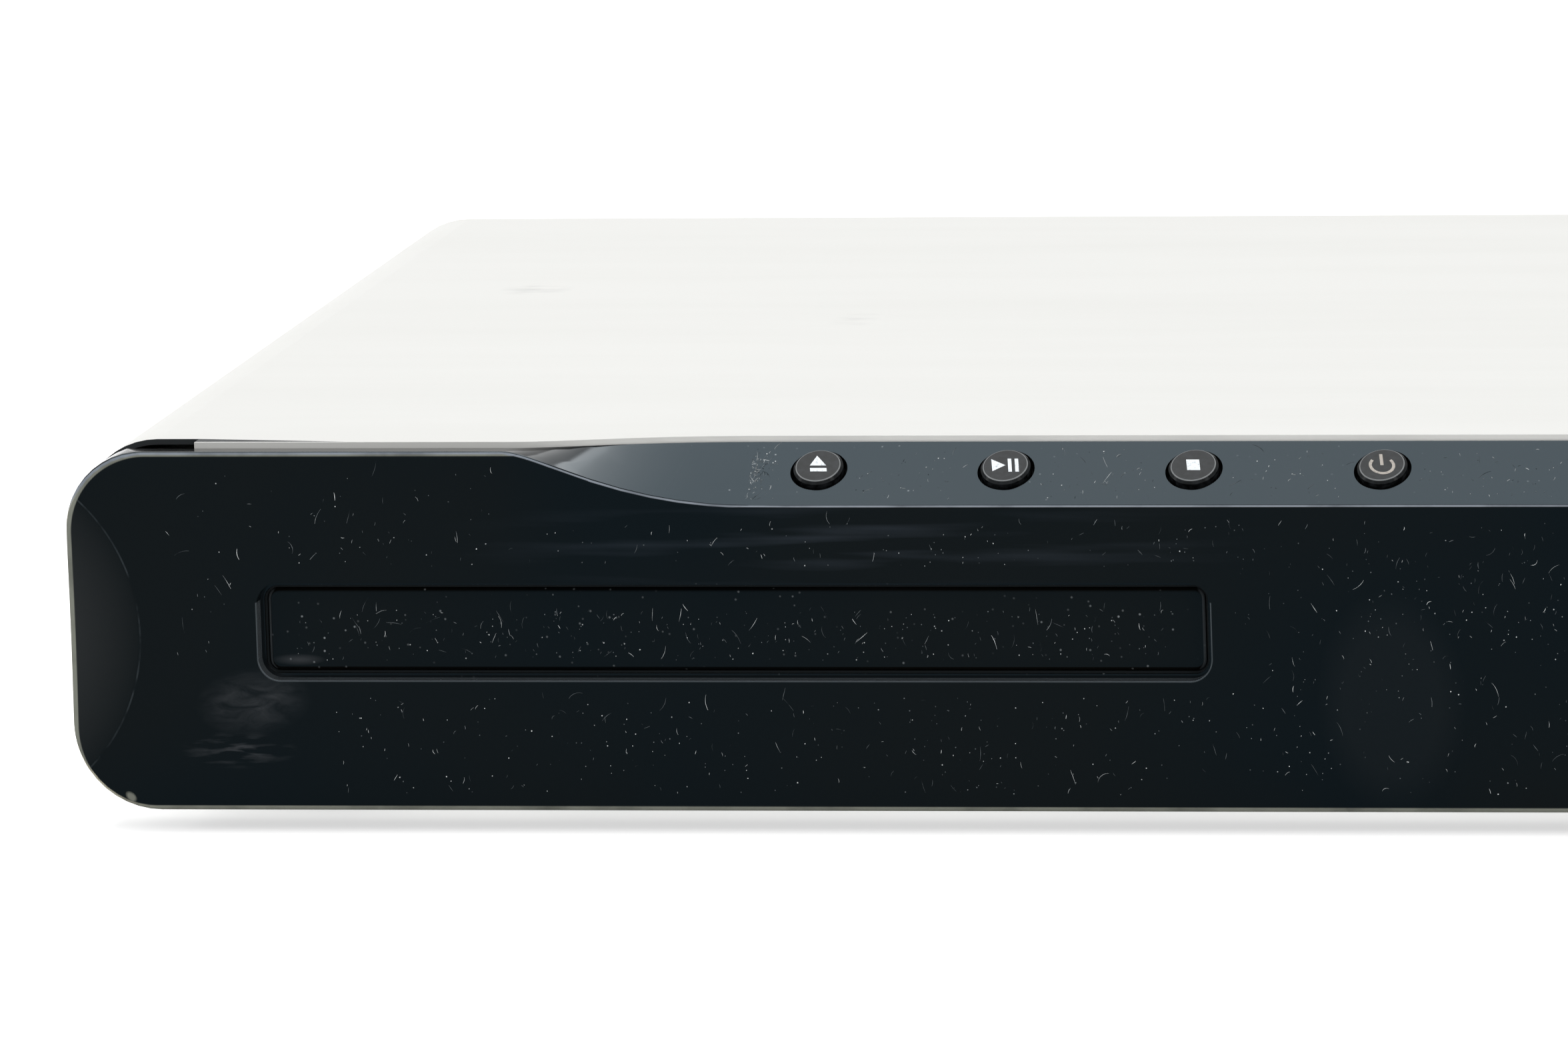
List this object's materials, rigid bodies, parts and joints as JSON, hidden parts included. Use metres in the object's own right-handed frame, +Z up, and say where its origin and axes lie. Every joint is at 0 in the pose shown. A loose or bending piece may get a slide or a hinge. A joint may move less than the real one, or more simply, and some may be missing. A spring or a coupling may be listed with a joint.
{
  "type": "dvd player with tray",
  "caption": "Slim disc player with a silver cover, a curved glossy black front, a row of round keys and a loading tray that slides out",
  "frame": {"origin": "bottom centre of the player's bounding box, on the table", "axes": "+X to the right seen from the front, +Y to the rear, +Z up"},
  "size_m": [0.36, 0.238, 0.0576],
  "materials": {
    "panel_black": "glossy injection-moulded black plastic",
    "window_black": "smoked glossy plastic",
    "button_chrome": "bright plated plastic",
    "cover_silver": "satin pale silver paint on sheet steel",
    "pan_steel": "zinc-plated sheet steel",
    "foot_rubber": "moulded black rubber",
    "frame_plastic": "matt black plastic",
    "tray_plastic": "fine matt moulded plastic",
    "deck_plastic": "matt moulded plastic",
    "gear_plastic": "natural acetal plastic",
    "turntable_plastic": "matt plastic with a rubber face",
    "belt_rubber": "drive belt rubber",
    "motor_steel": "plated steel",
    "sled_metal": "die-cast alloy",
    "lens_glass": "coated glass lens",
    "screw_steel": "plated steel",
    "board_green": "solder-masked fibreglass board",
    "board_tan": "bare phenolic board",
    "chip_black": "moulded black epoxy",
    "sink_aluminium": "extruded aluminium",
    "coil_tape": "yellow winding tape",
    "jack_plastic": "moulded socket plastic",
    "cable_white": "flat ribbon cable"
  },
  "bodies": {
    "case": {"av_jacks": "jack_plastic", "board_and_loader_screws": "screw_steel", "bottom_pan": "pan_steel", "button_guide": "frame_plastic", "clamp_bridge": "pan_steel", "cover_screws": "screw_steel", "decoder_heat_sink": "sink_aluminium", "display_module": "window_black", "display_window": "window_black", "foot_front_left": "foot_rubber", "foot_front_right": "foot_rubber", "foot_rear_left": "foot_rubber", "foot_rear_right": "foot_rubber", "front_board": "board_green", "front_cable_socket": "tray_plastic", "front_flat_cable": "cable_white", "front_panel": "panel_black", "hdmi_socket": "pan_steel", "ir_receiver": "chip_black", "key_board": "board_green", "key_switches": "chip_black", "loader_cable_socket": "tray_plastic", "loader_flat_cable": "cable_white", "loader_frame": "frame_plastic", "main_board": "board_green", "main_board_chips": "chip_black", "mains_capacitor": "chip_black", "mains_inlet": "chip_black", "power_board": "board_tan", "power_heat_sink": "sink_aluminium", "rear_plate": "pan_steel", "small_capacitors": "chip_black", "top_cover": "cover_silver", "transformer": "coil_tape", "tray_belt": "belt_rubber", "tray_motor": "motor_steel", "usb_socket": "pan_steel"},
    "tray": {"disc_tray": "tray_plastic", "tray_door": "panel_black"},
    "eject_key": {"eject_button": "button_chrome"},
    "play_key": {"play_button": "button_chrome"},
    "stop_key": {"stop_button": "button_chrome"},
    "power_key": {"power_button": "button_chrome"},
    "tray_gear": {"tray_gear": "gear_plastic"},
    "pulley_gear": {"pulley_gear": "gear_plastic"},
    "motor_pulley": {"motor_pulley": "gear_plastic"},
    "cam": {"cam_slider": "gear_plastic"},
    "deck": {"lifting_deck": "deck_plastic", "spindle_motor": "motor_steel", "guide_rod_left": "motor_steel", "guide_rod_right": "motor_steel", "sled_motor": "motor_steel"},
    "turntable": {"turntable": "turntable_plastic"},
    "clamp": {"clamp_puck": "gear_plastic"},
    "sled": {"laser_sled": "sled_metal", "objective_lens": "lens_glass"},
    "sled_gear": {"sled_gear": "gear_plastic"},
    "sled_motor_pinion": {"sled_motor_pinion": "gear_plastic"}
  },
  "joints": [
    {"name": "tray_slide", "type": "slide", "parent": "case", "child": "tray", "axis": [0, -1, 0], "range_m": [0, 0.132]},
    {"name": "eject_button_press", "type": "slide", "parent": "case", "child": "eject_key", "axis": [0, 0.553, -0.8332], "range_m": [0, 0.0006], "stiffness_N_per_m": 400},
    {"name": "play_button_press", "type": "slide", "parent": "case", "child": "play_key", "axis": [0, 0.553, -0.8332], "range_m": [0, 0.0006], "stiffness_N_per_m": 400},
    {"name": "stop_button_press", "type": "slide", "parent": "case", "child": "stop_key", "axis": [0, 0.553, -0.8332], "range_m": [0, 0.0006], "stiffness_N_per_m": 400},
    {"name": "power_button_press", "type": "slide", "parent": "case", "child": "power_key", "axis": [0, 0.553, -0.8332], "range_m": [0, 0.0006], "stiffness_N_per_m": 400},
    {"name": "tray_gear_spin", "type": "hinge", "parent": "case", "child": "tray_gear", "pos_m": [-0.12, -0.089, 0.026], "axis": [0, 0, 1], "range_deg": [-20, 980]},
    {"name": "pulley_gear_spin", "type": "hinge", "parent": "case", "child": "pulley_gear", "pos_m": [-0.1032, -0.089, 0.0216], "axis": [0, 0, 1], "range_deg": [-2400, 20]},
    {"name": "motor_pulley_spin", "type": "hinge", "parent": "case", "child": "motor_pulley", "pos_m": [-0.056, -0.089, 0.0216], "axis": [0, 0, 1], "range_deg": [-8000, 40]},
    {"name": "deck_tilt", "type": "hinge", "parent": "case", "child": "deck", "pos_m": [-0.08, 0.035, 0.018], "axis": [1, 0, 0], "range_deg": [0, 6]},
    {"name": "cam_slide", "type": "slide", "parent": "case", "child": "cam", "axis": [1, 0, 0], "range_m": [0, 0.0141]},
    {"name": "turntable_spin", "type": "hinge", "parent": "deck", "child": "turntable", "pos_m": [-0.08, -0.043, 0.03], "axis": [0, 0, 1], "continuous": true},
    {"name": "clamp_spin", "type": "hinge", "parent": "case", "child": "clamp", "pos_m": [-0.08, -0.043, 0.039], "axis": [0, 0, 1], "continuous": true},
    {"name": "sled_slide", "type": "slide", "parent": "deck", "child": "sled", "axis": [0, 1, 0], "range_m": [0, 0.033]},
    {"name": "sled_gear_spin", "type": "hinge", "parent": "deck", "child": "sled_gear", "pos_m": [-0.0434, -0.007, 0.026], "axis": [0, 0, 1], "range_deg": [-530, 10]},
    {"name": "sled_motor_pinion_spin", "type": "hinge", "parent": "deck", "child": "sled_motor_pinion", "pos_m": [-0.0434, 0.0045, 0.028], "axis": [0, 0, 1], "range_deg": [-30, 1900]}
  ],
  "couplings": [
    {"joint": "tray_gear_spin", "follows": "tray_slide", "rad_per_m": 125},
    {"joint": "pulley_gear_spin", "follows": "tray_slide", "rad_per_m": -312.5},
    {"joint": "motor_pulley_spin", "follows": "tray_slide", "rad_per_m": -1053.6},
    {"joint": "cam_slide", "follows": "deck_tilt", "m_per_rad": 0.13369},
    {"joint": "clamp_spin", "follows": "turntable_spin", "ratio": 1},
    {"joint": "sled_gear_spin", "follows": "sled_slide", "rad_per_m": -277.78},
    {"joint": "sled_motor_pinion_spin", "follows": "sled_slide", "rad_per_m": 1000}
  ]
}
